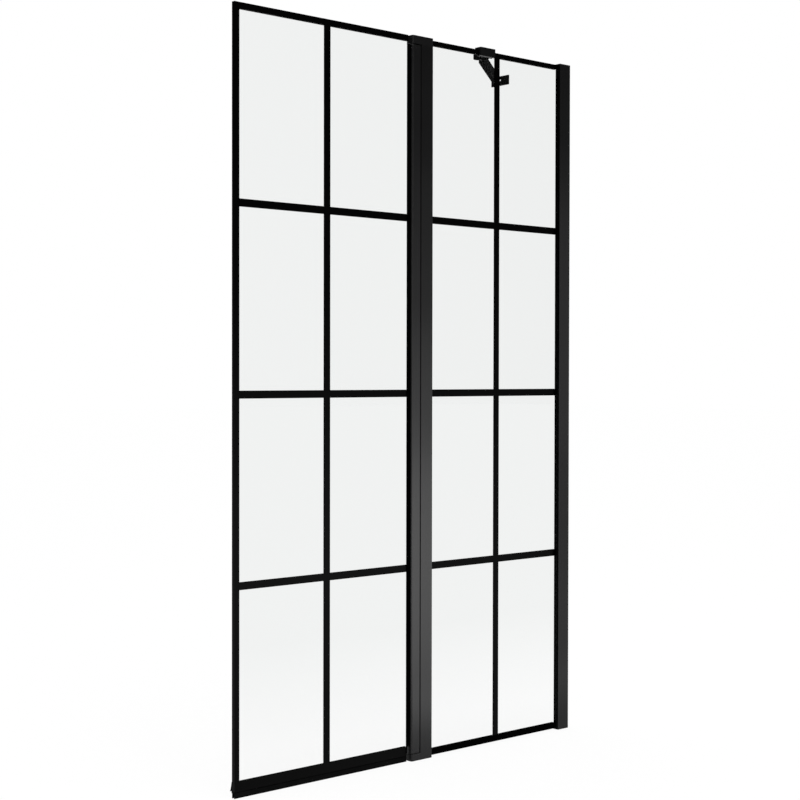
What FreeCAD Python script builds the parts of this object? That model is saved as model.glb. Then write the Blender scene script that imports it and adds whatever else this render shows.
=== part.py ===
import FreeCAD, Part
import math
import os
from types import SimpleNamespace

import Sketcher

# A framed glass shower screen for a wall: a fixed panel that telescopes in a wall channel,
# a hinge post, a leaf that pivots on the post, and a stabiliser arm back to the wall.
# X = 0 is the wall and the screen runs towards minus X. Y = 0 is the middle of the glass,
# minus Y is the dry side with the glazing bars. Z = 0 is the rim that the screen stands on.

# Driving dimensions in millimetres
DIMENSIONS = {
    # Whole screen
    "screen_height": 1500,
    "profile_depth": 25,
    "glass_thickness": 6,
    "frame_wall": 1.2,
    "glass_pad": 0.5,
    "slide_gap": 0.3,
    "running_clearance": 0.05,
    "edge_round": 0.8,
    "cut_overrun": 1,
    # Wall channel and its end caps
    "channel_width": 33.3,
    "channel_wall": 1.8,
    "channel_web": 2.5,
    "end_cap_thickness": 3,
    "end_plug_depth": 8,
    "end_plug_thickness": 3.5,
    "end_plug_width": 16,
    "back_leg_cut": 10.5,
    "wall_hole_radius": 3,
    "wall_hole_margin": 120,
    # Screws that lock the width, and their covers
    "lock_screw_radius": 2,
    "lock_screw_place": 17.5,
    "lock_screw_margin": 150,
    "lock_screw_tip": 7.2,
    "lock_head_radius": 3.8,
    "lock_cover_radius": 5,
    "lock_cover_height": 1.6,
    # Expander
    "expander_reveal": 3.7,
    "expander_length": 34,
    "expander_wall": 1.5,
    "expander_back_setback": 7.1,
    "adjust_travel": 10,
    "back_lip_wall": 0.9,
    "glass_bite": 13,
    "gasket_side": 2,
    "gasket_base": 1.5,
    "gasket_bead": 0.8,
    # Fixed panel
    "fixed_pane_width": 386.3,
    "fixed_bar_place": 188.7,
    "fixed_top_drop": 2.1,
    "fixed_top_rail_height": 10.7,
    "fixed_bottom_lift": 2.4,
    "fixed_bottom_rail_height": 13.9,
    # Glazing bars
    "upright_width": 16.1,
    "bar_width": 15.2,
    "first_bar_height": 401.1,
    "bar_pitch": 361.6,
    # Hinge post
    "post_width": 32.2,
    "post_wall": 1.8,
    "port_radius": 1.95,
    "port_wall": 1.6,
    "port_overlap": 0.35,
    "roll_radius": 17.15,
    "roll_gap": 0.5,
    # Pivot caps
    "top_cap_height": 17,
    "bottom_cap_height": 14.8,
    "cap_corner": 4,
    "cap_spigot_length": 6,
    "cap_spigot_width": 7,
    "cap_screw_radius": 1.9,
    "cap_screw_hole": 2.2,
    "cap_screw_length": 32,
    "cap_head_radius": 3.8,
    "cap_head_height": 2,
    # Pivot pins and bushes
    "pin_radius": 4,
    "pin_seat": 11,
    "pin_reach": 14,
    "bush_radius": 6.2,
    "bush_length": 20,
    "bush_flange_radius": 7.6,
    "bush_flange_height": 1.1,
    "top_pivot_gap": 2.4,
    "bottom_pivot_gap": 1.5,
    # Leaf
    "hinge_gap": 4.4,
    "head_width": 20.7,
    "head_corner": 4,
    "head_wall": 1.8,
    "lip_reach": 6.7,
    "back_lip_reach": 1,
    "lip_wall": 1.5,
    "leaf_pane_width": 425.8,
    "edge_leg": 11.3,
    "leaf_top_rail_height": 12.6,
    "leaf_bottom_rail_height": 19.2,
    "swing_clearance": 0.6,
    # Drip seal
    "skirt_height": 12.3,
    "skirt_back": 3.5,
    "seal_wall": 1.2,
    "seal_groove": 1.8,
    "seal_flange_height": 18,
    "fin_root_height": 3.8,
    "fin_tip_height": 12.1,
    "fin_reach": 5.9,
    "fin_thickness": 1,
    "fin_radius": 80,
    # Stabiliser
    "clamp_place": 258.1,
    "clamp_width": 44,
    "clamp_leg": 3.8,
    "clamp_rise": 6.1,
    "clamp_drop": 0.4,
    "liner_thickness": 1,
    "liner_show": 1.6,
    "grub_radius": 2.5,
    "grub_spread": 36,
    "clamp_pivot_reach": 9.6,
    "clamp_ear_radius": 14.5,
    "ear_thickness": 3.2,
    "lower_ear_thickness": 9,
    "swivel_height": 20,
    "swivel_pin_radius": 3,
    "swivel_head_radius": 5,
    "swivel_head_height": 2,
    "arm_width": 10,
    "arm_height": 25,
    "shoulder_gap": 1.5,
    "bracket_place": 209.7,
    "bracket_reach": 11,
    "bracket_width": 56,
    "bracket_plate": 3,
    "bracket_rise": 2,
    "bracket_ear_radius": 8,
    "bracket_hole_radius": 2.75,
}


class Size:
    """A size known both as a number and as a formula of the sheet's cells."""

    def __init__(self, value, formula):
        self.value = value
        self.formula = formula

    def __add__(self, other):
        other = as_size(other)
        return Size(self.value + other.value, f"({self.formula} + {other.formula})")

    def __sub__(self, other):
        other = as_size(other)
        return Size(self.value - other.value, f"({self.formula} - {other.formula})")

    def __mul__(self, other):
        other = as_size(other)
        return Size(self.value * other.value, f"({self.formula} * {other.formula})")

    def __truediv__(self, other):
        other = as_size(other)
        return Size(self.value / other.value, f"({self.formula} / {other.formula})")

    def __neg__(self):
        return Size(-self.value, f"(-{self.formula})")


def as_size(number):
    """Turns a plain factor or zero into a Size."""
    return number if isinstance(number, Size) else Size(number, str(number))


def root_of(size):
    """The square root of a Size."""
    return Size(math.sqrt(size.value), f"sqrt({size.formula})")


def length_of(across, along):
    """The length of a slanted line from its two legs."""
    return root_of(across * across + along * along)


def slant_of(across, along):
    """The slant in degrees of a line that rises by across over along."""
    slant = math.degrees(math.atan2(across.value, along.value))
    return Size(slant, f"atan2({across.formula}; {along.formula})")


ZERO = as_size(0)

doc = FreeCAD.newDocument("ShowerScreen")
sheet = doc.addObject("Spreadsheet::Sheet", "Sizes")
d = SimpleNamespace()
for row, (name, number) in enumerate(DIMENSIONS.items(), start=1):
    sheet.set(f"A{row}", name)
    sheet.set(f"B{row}", str(number))
    sheet.setAlias(f"B{row}", name)
    setattr(d, name, Size(number, f"Sizes.{name}"))
doc.recompute()

# Places that several pieces share
half_depth = d.profile_depth / 2
half_glass = d.glass_thickness / 2
frame_face = half_glass + d.frame_wall
pocket_half = half_glass + d.gasket_side
lip_out = pocket_half + d.lip_wall
back_lip_out = pocket_half + d.back_lip_wall

channel_edge = -d.channel_width
channel_back_edge = channel_edge + d.back_leg_cut
expander_lip = channel_edge - d.expander_reveal
expander_back_lip = expander_lip + d.expander_back_setback
expander_half = half_depth - d.channel_wall - d.slide_gap
expander_pocket = expander_lip + d.glass_bite
post_right = expander_lip - d.fixed_pane_width
post_left = post_right - d.post_width
post_pocket = post_right - d.glass_bite
axis_x = post_left - d.hinge_gap - d.head_width / 2
head_left = axis_x - d.head_width / 2
stile_lip = head_left - d.lip_reach
stile_back_lip = head_left - d.back_lip_reach
stile_pocket = axis_x - d.bush_radius - d.lip_wall
leaf_inner = stile_lip - d.leaf_pane_width
free_edge = leaf_inner - d.edge_leg

cap_underside = d.screen_height - d.top_cap_height
stile_bottom = d.bottom_cap_height + d.bottom_pivot_gap
stile_top = cap_underside - d.top_pivot_gap
fixed_rail_top = d.screen_height - d.fixed_top_drop
fixed_pane_top = fixed_rail_top - d.fixed_top_rail_height
fixed_rail_bottom = d.fixed_bottom_lift
fixed_pane_bottom = fixed_rail_bottom + d.fixed_bottom_rail_height
leaf_rail_bottom = d.skirt_height
leaf_pane_bottom = leaf_rail_bottom + d.leaf_bottom_rail_height
leaf_pane_top = d.screen_height - d.leaf_top_rail_height
channel_bottom = d.end_cap_thickness
channel_top = d.screen_height - d.end_cap_thickness

# The leaf's upper corner swings round the cap's corner, so it stops short of it
cap_sweep = length_of(d.head_width / 2 - d.cap_corner, half_depth - d.cap_corner) + d.cap_corner
swing_end = axis_x - cap_sweep - d.swing_clearance

clamp_x = -d.clamp_place
clamp_top = fixed_rail_top + d.clamp_rise
clamp_bottom = fixed_pane_top - d.clamp_drop
clamp_half = frame_face + d.liner_thickness + d.clamp_leg
clamp_pivot_y = clamp_half + d.clamp_pivot_reach
bracket_x = -d.bracket_reach
swivel_bottom = clamp_top - d.swivel_height
tongue_bottom = swivel_bottom + d.lower_ear_thickness + d.slide_gap
tongue_top = clamp_top - d.ear_thickness - d.slide_gap
swivel_bore = d.swivel_pin_radius + d.running_clearance


class Turn:
    """An arc on the way from one corner of an outline to the next: ccw or clockwise."""

    def __init__(self, radius, ccw=True):
        self.radius = radius
        self.ccw = ccw

    def curve(self, start, end):
        """The short arc between two points, drawn the way a sketch keeps arcs."""
        radius = self.radius.value
        across = (end[0] - start[0], end[1] - start[1])
        chord = math.hypot(*across)
        rise = math.sqrt(max(radius ** 2 - chord ** 2 / 4, 0)) / chord
        side = rise if self.ccw else -rise
        centre = (
            (start[0] + end[0]) / 2 - across[1] * side,
            (start[1] + end[1]) / 2 + across[0] * side,
        )
        first, last = (start, end) if self.ccw else (end, start)
        circle = Part.Circle(FreeCAD.Vector(*centre, 0), FreeCAD.Vector(0, 0, 1), radius)
        angles = [math.atan2(p[1] - centre[1], p[0] - centre[0]) for p in (first, last)]
        return Part.ArcOfCircle(circle, *angles)


def bind(thing, **sizes):
    """Binds properties to the sheet. A double underscore stands for a dot in a path."""
    for path, size in sizes.items():
        thing.setExpression(path.replace("__", "."), size.formula)
    return thing


def new_sketch(body, name, plane, offset):
    """A sketch on one of the body's own origin planes, moved along that plane's normal."""
    sketch = body.newObject("Sketcher::SketchObject", name)
    support = [f for f in body.Origin.OriginFeatures if f.Role == plane][0]
    sketch.AttachmentSupport = [(support, "")]
    sketch.MapMode = "FlatFace"
    return bind(sketch, AttachmentOffset__Base__z=offset)


def draw_outline(sketch, outline):
    """Draws a closed outline of (x, y) corners, with a Turn where the next edge is an arc."""
    corners = []
    turns = {}
    for item in outline:
        if isinstance(item, Turn):
            turns[len(corners) - 1] = item
        else:
            corners.append(tuple(as_size(value) for value in item))
    count = len(corners)
    first = sketch.GeometryCount
    points = [(x.value, y.value) for x, y in corners]
    for index in range(count):
        start, end = points[index], points[(index + 1) % count]
        if index in turns:
            sketch.addGeometry(turns[index].curve(start, end), False)
        else:
            line = Part.LineSegment(FreeCAD.Vector(*start, 0), FreeCAD.Vector(*end, 0))
            sketch.addGeometry(line, False)

    def ends(index):
        """The vertex numbers of an edge's start and end along the outline."""
        return (2, 1) if index in turns and not turns[index].ccw else (1, 2)

    constraints = []
    formulas = []
    for index in range(count):
        after = (index + 1) % count
        constraints.append(
            Sketcher.Constraint(
                "Coincident", first + index, ends(index)[1], first + after, ends(after)[0]
            )
        )
        formulas.append(None)
    for index, corner in enumerate(corners):
        for kind, size in zip(("DistanceX", "DistanceY"), corner):
            vertex = ends(index)[0]
            constraints.append(Sketcher.Constraint(kind, -1, 1, first + index, vertex, size.value))
            formulas.append(size.formula)
    for index, turn in turns.items():
        constraints.append(Sketcher.Constraint("Radius", first + index, turn.radius.value))
        formulas.append(turn.radius.formula)
    add_bound(sketch, constraints, formulas)


def draw_circle(sketch, centre, radius):
    """Draws a circle whose centre and radius are bound to the sheet."""
    x, y = (as_size(value) for value in centre)
    place = FreeCAD.Vector(x.value, y.value, 0)
    circle = sketch.addGeometry(Part.Circle(place, FreeCAD.Vector(0, 0, 1), radius.value), False)
    constraints = [
        Sketcher.Constraint("DistanceX", -1, 1, circle, 3, x.value),
        Sketcher.Constraint("DistanceY", -1, 1, circle, 3, y.value),
        Sketcher.Constraint("Radius", circle, radius.value),
    ]
    add_bound(sketch, constraints, [x.formula, y.formula, radius.formula])


def add_bound(sketch, constraints, formulas):
    """Adds constraints and binds those that have a formula."""
    start = sketch.ConstraintCount
    sketch.addConstraint(constraints)
    for index, formula in enumerate(formulas):
        if formula is not None:
            sketch.setExpression(f"Constraints[{start + index}]", formula)


def extrude(body, name, plane, low, high, outlines=(), circles=()):
    """Pads outlines and circles, nested ones as holes, between two places along a plane's normal."""
    sketch = new_sketch(body, f"{name}_section", plane, low)
    for outline in outlines:
        draw_outline(sketch, outline)
    for centre, radius in circles:
        draw_circle(sketch, centre, radius)
    pad = body.newObject("PartDesign::Pad", f"{name}_pad")
    pad.Profile = sketch
    bind(pad, Length=high - low)
    return pad


def profile(name, plane, low, high, outlines, circles=()):
    """A body that is one extrusion."""
    body = doc.addObject("PartDesign::Body", name)
    extrude(body, name, plane, low, high, outlines, circles)
    return body


def box(name, low, high):
    """A box between its low and high corners."""
    thing = doc.addObject("Part::Box", name)
    low = [as_size(value) for value in low]
    high = [as_size(value) for value in high]
    bind(thing, Length=high[0] - low[0], Width=high[1] - low[1], Height=high[2] - low[2])
    return bind(thing, Placement__Base__x=low[0], Placement__Base__y=low[1], Placement__Base__z=low[2])


AXIS_TURNS = {
    "x": FreeCAD.Rotation(FreeCAD.Vector(0, 1, 0), 90),
    "y": FreeCAD.Rotation(FreeCAD.Vector(1, 0, 0), -90),
    "z": FreeCAD.Rotation(),
}


def stand_at(thing, axis, start):
    """Stands a round piece at its start point, along a row axis."""
    thing.Placement = FreeCAD.Placement(FreeCAD.Vector(), AXIS_TURNS[axis])
    x, y, z = (as_size(value) for value in start)
    return bind(thing, Placement__Base__x=x, Placement__Base__y=y, Placement__Base__z=z)


def cylinder(name, axis, start, radius, height):
    """A cylinder from its start point, along the positive row axis."""
    thing = doc.addObject("Part::Cylinder", name)
    bind(thing, Radius=radius, Height=height)
    return stand_at(thing, axis, start)


def cone(name, axis, start, radius, end_radius, height):
    """A cone from its start point, along the positive row axis."""
    thing = doc.addObject("Part::Cone", name)
    bind(thing, Radius1=radius, Radius2=end_radius, Height=height)
    return stand_at(thing, axis, start)


def fuse(name, *pieces):
    """One solid from several that meet."""
    thing = doc.addObject("Part::MultiFuse", name)
    thing.Shapes = list(pieces)
    thing.Refine = True
    return thing


def cut(name, base, *tools):
    """A base with tools taken out of it."""
    thing = doc.addObject("Part::Cut", name)
    thing.Base = base
    thing.Tool = tools[0] if len(tools) == 1 else fuse(f"{name}_tools", *tools)
    thing.Refine = True
    return thing


def group(name, *pieces):
    """Identical separate pieces in one node."""
    thing = doc.addObject("Part::Compound", name)
    thing.Links = list(pieces)
    return thing


NODES = []


def node(thing):
    """Marks a finished piece for its file."""
    NODES.append(thing)
    return thing


def lock_heights():
    """Heights of the screws that lock the width: low, middle and high."""
    low = d.lock_screw_margin
    high = d.screen_height - d.lock_screw_margin
    return low, (low + high) / 2, high


WALL_HOLES = 4


def wall_hole_heights():
    """Heights of the wall screws, evenly spread between the margins."""
    pitch = (d.screen_height - d.wall_hole_margin * 2) / (WALL_HOLES - 1)
    return [d.wall_hole_margin + pitch * place for place in range(WALL_HOLES)]


def slope_x(back_lip, y):
    """Where the slope at 45 degrees that starts at a back lip's outer edge has come to at y."""
    return back_lip + y - back_lip_out


def slope_wall(wall):
    """The level thickness of a wall that lies along a slope at 45 degrees."""
    return length_of(wall, wall)


def make_wall_channel():
    """The U channel on the wall, shorter on the wet side, with wall screw and lock screw holes."""
    inner = half_depth - d.channel_wall
    section = [
        (channel_edge, -half_depth), (ZERO, -half_depth), (ZERO, half_depth),
        (channel_back_edge, half_depth), (channel_back_edge, inner), (-d.channel_web, inner),
        (-d.channel_web, -inner), (channel_edge, -inner),
    ]
    blank = profile("channel_blank", "XY_Plane", channel_bottom, channel_top, [section])
    tools = []
    for number, height in enumerate(wall_hole_heights()):
        start = (-d.channel_web - d.cut_overrun, ZERO, height)
        length = d.channel_web + d.cut_overrun * 2
        tools.append(cylinder(f"wall_hole_{number}", "x", start, d.wall_hole_radius, length))
    for number, height in enumerate(lock_heights()):
        start = (-d.lock_screw_place, inner, height)
        radius = d.lock_screw_radius + d.running_clearance
        mouth = d.lock_head_radius + d.running_clearance
        tools.append(cone(f"lock_hole_{number}", "y", start, radius, mouth, d.channel_wall))
    node(cut("wall_channel", blank, *tools))


def make_end_cap(name, plate_low, plate_high, plug_low, plug_high):
    """An end cap of the wall channel, with a plug that stays clear of the expander."""
    outline = [
        (channel_edge, -half_depth), (ZERO, -half_depth), (ZERO, half_depth),
        (channel_back_edge, half_depth), (channel_edge, half_depth - d.back_leg_cut),
    ]
    plate = profile(f"{name}_plate", "XY_Plane", plate_low, plate_high, [outline])
    plug_half = d.end_plug_width / 2
    plug_end = -d.channel_web - d.end_plug_thickness
    plug = box(f"{name}_plug", (plug_end, -plug_half, plug_low), (-d.channel_web, plug_half, plug_high))
    node(fuse(name, plate, plug))


def make_lock_screws():
    """Countersunk screws in the channel's wet side that lock the width, each under a cover disc."""
    screws = []
    covers = []
    neck = half_depth - d.channel_wall
    for number, height in enumerate(lock_heights()):
        x = -d.lock_screw_place
        tip = (x, d.lock_screw_tip, height)
        shank = cylinder(f"lock_shank_{number}", "y", tip, d.lock_screw_radius, neck - d.lock_screw_tip)
        head_radii = (d.lock_screw_radius, d.lock_head_radius)
        head = cone(f"lock_head_{number}", "y", (x, neck, height), *head_radii, d.channel_wall)
        screws.append(fuse(f"lock_screw_{number}", shank, head))
        face = (x, half_depth, height)
        covers.append(cylinder(f"lock_cover_{number}", "y", face, d.lock_cover_radius, d.lock_cover_height))
    node(group("lock_screws", *screws))
    node(group("lock_covers", *covers))


def make_expander():
    """The inner extrusion that telescopes in the wall channel and holds the fixed glass."""
    back = expander_lip + d.expander_length
    wall = d.expander_wall
    front_in = expander_lip + wall
    pocket_out = pocket_half + wall
    leg_in = expander_half - wall
    slope_in = slope_wall(wall)
    wet_outer = [
        (back, expander_half), (slope_x(expander_back_lip, expander_half), expander_half),
        (expander_back_lip, back_lip_out), (expander_back_lip, pocket_half), (expander_pocket, pocket_half),
    ]
    dry_outer = [
        (expander_pocket, -pocket_half), (expander_lip, -pocket_half), (expander_lip, -expander_half),
        (back, -expander_half),
    ]
    dry_inner = [
        (back, -leg_in), (front_in, -leg_in), (front_in, -pocket_out), (expander_pocket + wall, -pocket_out),
    ]
    wet_inner = [
        (expander_pocket + wall, pocket_out), (slope_x(expander_back_lip, pocket_out) + slope_in, pocket_out),
        (slope_x(expander_back_lip, leg_in) + slope_in, leg_in), (back, leg_in),
    ]
    section = wet_outer + dry_outer + dry_inner + wet_inner
    low = channel_bottom + d.slide_gap
    high = channel_top - d.slide_gap
    blank = profile("expander_blank", "XY_Plane", low, high, [section])
    slots = []
    slot_radius = d.lock_screw_radius + d.slide_gap
    x = -d.lock_screw_place
    deep = leg_in - d.cut_overrun
    length = wall + d.cut_overrun * 2
    for number, height in enumerate(lock_heights()):
        near = cylinder(f"slot_near_{number}", "y", (x, deep, height), slot_radius, length)
        far_place = (x + d.adjust_travel, deep, height)
        far = cylinder(f"slot_far_{number}", "y", far_place, slot_radius, length)
        middle_low = (x, deep, height - slot_radius)
        middle_high = (x + d.adjust_travel, deep + length, height + slot_radius)
        slots.append(fuse(f"slot_{number}", near, far, box(f"slot_middle_{number}", middle_low, middle_high)))
    node(cut("expander", blank, *slots))


def mirrored(corners):
    """The same corners on the other side of the glass, in reverse order."""
    return [(x, -y) for x, y in reversed(corners)]


def gasket_side(bottom, lip, outward, flap_end=None):
    """One side of a gasket: along the pocket, round the lip to a bead on the glass, and back.

    A flap, where there is one, lies on the lip's face as far as flap_end.
    """
    side = [(bottom, pocket_half), (lip, pocket_half)]
    if flap_end:
        flap_face = lip_out + d.gasket_bead
        side += [(lip, lip_out), (flap_end, lip_out), (flap_end, flap_face), (lip, flap_face)]
    else:
        side.append((lip, pocket_half + d.gasket_bead))
    side.append((lip + d.gasket_bead * outward, half_glass))
    side.append((bottom + d.gasket_base * outward, half_glass))
    return side


def make_gasket(name, wet_side, dry_side, low, high):
    """A U gasket that lines a glass pocket, with beads that lean on the glass outside."""
    node(profile(name, "XY_Plane", low, high, [wet_side + mirrored(dry_side)]))


def make_rail(name, ends, web_face, web_inner, leg_end):
    """A U rail along X on an edge of the glass."""
    section = [
        (-frame_face, leg_end), (-frame_face, web_face), (frame_face, web_face), (frame_face, leg_end),
        (half_glass, leg_end), (half_glass, web_inner), (-half_glass, web_inner), (-half_glass, leg_end),
    ]
    node(profile(name, "YZ_Plane", ends[0], ends[1], [section]))


def make_bars(side, left, right, middle, low, high):
    """The glazing bars of one pane: an upright, and three cross bars in two lengths each."""
    half = d.bar_width / 2
    upright_left = middle - d.upright_width / 2
    upright_right = middle + d.upright_width / 2
    upright_low = (upright_left, -frame_face, low)
    node(box(f"{side}_upright_bar", upright_low, (upright_right, -half_glass, high)))
    for number, place in enumerate(("lower", "middle", "upper")):
        height = d.first_bar_height + d.bar_pitch * number
        lengths = []
        for part, ends in (("left", (left, upright_left)), ("right", (upright_right, right))):
            start = (ends[0], -frame_face, height - half)
            end = (ends[1], -half_glass, height + half)
            lengths.append(box(f"{side}_{place}_bar_{part}", start, end))
        node(group(f"{side}_{place}_bar", *lengths))


def port_places():
    """Plan places of the two screw ports in the hinge post."""
    reach = d.port_radius + d.port_wall - d.port_overlap
    x = axis_x + d.roll_radius + d.roll_gap + d.post_wall + reach
    y = half_depth - d.post_wall - reach
    return (x, y), (x, -y)


def make_hinge_post():
    """The hollow post: a concave flank for the leaf's stile, a glass pocket and screw ports."""
    hollow = d.roll_radius + d.roll_gap
    reach = post_left - axis_x
    flank = root_of(hollow * hollow - reach * reach)
    soft = d.edge_round
    section = [
        (post_left + soft, -half_depth), (post_right - soft, -half_depth), Turn(soft),
        (post_right, soft - half_depth), (post_right, -pocket_half), (post_pocket, -pocket_half),
        (post_pocket, pocket_half), (post_right, pocket_half), (post_right, half_depth - soft), Turn(soft),
        (post_right - soft, half_depth), (post_left + soft, half_depth), Turn(soft),
        (post_left, half_depth - soft), (post_left, flank), Turn(hollow, ccw=False),
        (post_left, -flank), (post_left, soft - half_depth), Turn(soft),
    ]
    left = axis_x + hollow + d.post_wall
    right = post_right - d.post_wall
    pocket = post_pocket - d.post_wall
    side = half_depth - d.post_wall
    step = pocket_half + d.post_wall
    upper = [(left, side), (right, side), (right, step), (pocket, step)]
    chamber = upper + mirrored(upper)
    body = profile("hinge_post", "XY_Plane", d.bottom_cap_height, cap_underside, [section, chamber])
    rings = []
    for place in port_places():
        rings.append((place, d.port_radius + d.port_wall))
        rings.append((place, d.port_radius))
    extrude(body, "screw_ports", "XY_Plane", d.bottom_cap_height, cap_underside, circles=rings)
    node(body)


def make_pivot_cap(name, low, high, inner, outward):
    """A cap of the hinge post that reaches over the leaf's stile and holds a pivot pin.

    inner is the height of the face towards the post, outward is 1 for the top cap and -1 below.
    """
    corner = d.cap_corner
    soft = d.edge_round
    section = [
        (head_left + corner, -half_depth), (post_right - soft, -half_depth), Turn(soft),
        (post_right, soft - half_depth), (post_right, half_depth - soft), Turn(soft),
        (post_right - soft, half_depth), (slope_x(stile_back_lip, half_depth), half_depth),
        (head_left, back_lip_out + d.back_lip_reach), (head_left, corner - half_depth), Turn(corner),
    ]
    blank = profile(f"{name}_blank", "XY_Plane", low, high, [section])

    def between(start, end):
        """Two heights in rising order."""
        return (start, end) if outward > 0 else (end, start)

    outer = high if outward > 0 else low
    slot_end = fixed_rail_top - d.frame_wall if outward > 0 else fixed_rail_bottom + d.frame_wall
    slot_half = half_glass + d.slide_gap
    seat = between(inner - d.cut_overrun * outward, inner + d.pin_seat * outward)
    pin_bore = d.pin_radius + d.running_clearance
    slot = between(inner - d.cut_overrun * outward, slot_end)
    tools = [
        cylinder(f"{name}_pin_hole", "z", (axis_x, ZERO, seat[0]), pin_bore, seat[1] - seat[0]),
        box(
            f"{name}_glass_slot",
            (post_pocket, -slot_half, slot[0]),
            (post_right + d.cut_overrun, slot_half, slot[1]),
        ),
    ]
    sink = between(outer - d.cap_head_height * outward, outer)
    radii = between(d.cap_screw_hole, d.cap_head_radius)
    for number, (x, y) in enumerate(port_places()):
        start = (x, y, low - d.cut_overrun)
        length = high - low + d.cut_overrun * 2
        tools.append(cylinder(f"{name}_screw_hole_{number}", "z", start, d.cap_screw_hole, length))
        tools.append(
            cone(f"{name}_sink_{number}", "z", (x, y, sink[0]), radii[0], radii[1], d.cap_head_height)
        )
    drilled = cut(f"{name}_drilled", blank, *tools)
    spigot_half = d.cap_spigot_width / 2
    spigot_right = post_pocket - d.post_wall - d.slide_gap
    spigot = between(inner - d.cap_spigot_length * outward, inner)
    spigot_box = box(
        f"{name}_spigot",
        (spigot_right - d.cap_spigot_width, -spigot_half, spigot[0]),
        (spigot_right, spigot_half, spigot[1]),
    )
    node(fuse(name, drilled, spigot_box))


def make_cap_screws():
    """The four countersunk screws that hold the pivot caps on the post, two above and two below."""
    screws = []
    wide = d.cap_head_radius - d.running_clearance
    shank_length = d.cap_screw_length - d.cap_head_height
    for side, outer, outward in (("top", d.screen_height, 1), ("bottom", ZERO, -1)):
        tip = outer - d.cap_screw_length * outward
        neck = outer - d.cap_head_height * outward
        shank_low, head_low = (tip, neck) if outward > 0 else (neck, outer)
        radii = (d.cap_screw_radius, wide) if outward > 0 else (wide, d.cap_screw_radius)
        for number, (x, y) in enumerate(port_places()):
            name = f"{side}_cap_screw_{number}"
            shank = cylinder(f"{name}_shank", "z", (x, y, shank_low), d.cap_screw_radius, shank_length)
            head = cone(f"{name}_head", "z", (x, y, head_low), *radii, d.cap_head_height)
            screws.append(fuse(name, shank, head))
    node(group("cap_screws", *screws))


def make_pivots():
    """The pivot pins in the caps, and the flanged bushes in the ends of the stile that they turn in."""
    pins = []
    bushes = []
    bore_length = d.bush_length + d.bush_flange_height + d.cut_overrun * 2
    for side, stile_end, cap_face, gap, outward in (
        ("top", stile_top, cap_underside, d.top_pivot_gap, 1),
        ("bottom", stile_bottom, d.bottom_cap_height, d.bottom_pivot_gap, -1),
    ):
        pin_inner = stile_end - d.pin_reach * outward
        pin_outer = cap_face + d.pin_seat * outward
        sleeve_end = stile_end - d.bush_length * outward
        flange_end = stile_end + d.bush_flange_height * outward
        if outward > 0:
            pin_low, sleeve_low, flange_low, bore_low = pin_inner, sleeve_end, stile_end, sleeve_end
        else:
            pin_low, sleeve_low, flange_low, bore_low = pin_outer, stile_end, flange_end, flange_end
        pin_length = d.pin_reach + gap + d.pin_seat
        pins.append(cylinder(f"{side}_pin", "z", (axis_x, ZERO, pin_low), d.pin_radius, pin_length))
        sleeve_place = (axis_x, ZERO, sleeve_low)
        sleeve = cylinder(f"{side}_sleeve", "z", sleeve_place, d.bush_radius, d.bush_length)
        flange_place = (axis_x, ZERO, flange_low)
        flange = cylinder(f"{side}_flange", "z", flange_place, d.bush_flange_radius, d.bush_flange_height)
        bore_place = (axis_x, ZERO, bore_low - d.cut_overrun)
        bore_radius = d.pin_radius + d.running_clearance
        bore = cylinder(f"{side}_bush_bore", "z", bore_place, bore_radius, bore_length)
        bushes.append(cut(f"{side}_bush", fuse(f"{side}_bush_blank", sleeve, flange), bore))
    node(group("pivot_pins", *pins))
    node(group("pivot_bushes", *bushes))


def make_pivot_stile():
    """The leaf's stile: a rolling flank round the pivot axis, a pivot bore and a glass pocket."""
    roll = d.roll_radius
    nose = axis_x + root_of(roll * roll - half_depth * half_depth)
    corner = d.head_corner
    section = [
        (nose, -half_depth), Turn(roll),
        (nose, half_depth), (slope_x(stile_back_lip, half_depth), half_depth),
        (stile_back_lip, back_lip_out), (stile_back_lip, pocket_half),
        (stile_pocket, pocket_half), (stile_pocket, -pocket_half),
        (stile_lip, -pocket_half), (stile_lip, -lip_out), (head_left, -lip_out),
        (head_left, corner - half_depth), Turn(corner),
        (head_left + corner, -half_depth),
    ]
    outlines = [section]
    inner = d.bush_radius + d.head_wall
    outer = half_depth - d.head_wall
    left = head_left + corner
    right = axis_x + d.bush_radius
    slope_in = slope_wall(d.head_wall)
    outlines.append([
        (slope_x(stile_back_lip, inner) + slope_in, inner), (right, inner), (right, outer),
        (slope_x(stile_back_lip, outer) + slope_in, outer),
    ])
    outlines.append([(left, -outer), (right, -outer), (right, -inner), (left, -inner)])
    cell_left = axis_x + inner
    cell_right = axis_x + roll - d.head_wall * 2
    cell_half = d.bush_radius - d.head_wall
    cell = [(cell_left, cell_half), (cell_right, cell_half)]
    outlines.append(cell + mirrored(cell))
    bore = ((axis_x, ZERO), d.bush_radius + d.running_clearance)
    node(profile("pivot_stile", "XY_Plane", stile_bottom, stile_top, outlines, [bore]))


def make_leaf_glass():
    """The leaf's pane, notched where its upper corner passes the pivot cap."""
    low = (free_edge + d.frame_wall, -half_glass, stile_bottom + d.glass_pad)
    top = d.screen_height - d.frame_wall - d.glass_pad
    right = stile_pocket - d.gasket_base
    pane = box("leaf_pane", low, (right, half_glass, top))
    notch = box(
        "leaf_notch",
        (swing_end, -half_glass - d.cut_overrun, stile_top - d.glass_pad),
        (right + d.cut_overrun, half_glass + d.cut_overrun, top + d.cut_overrun),
    )
    node(cut("leaf_glass", pane, notch))


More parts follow.
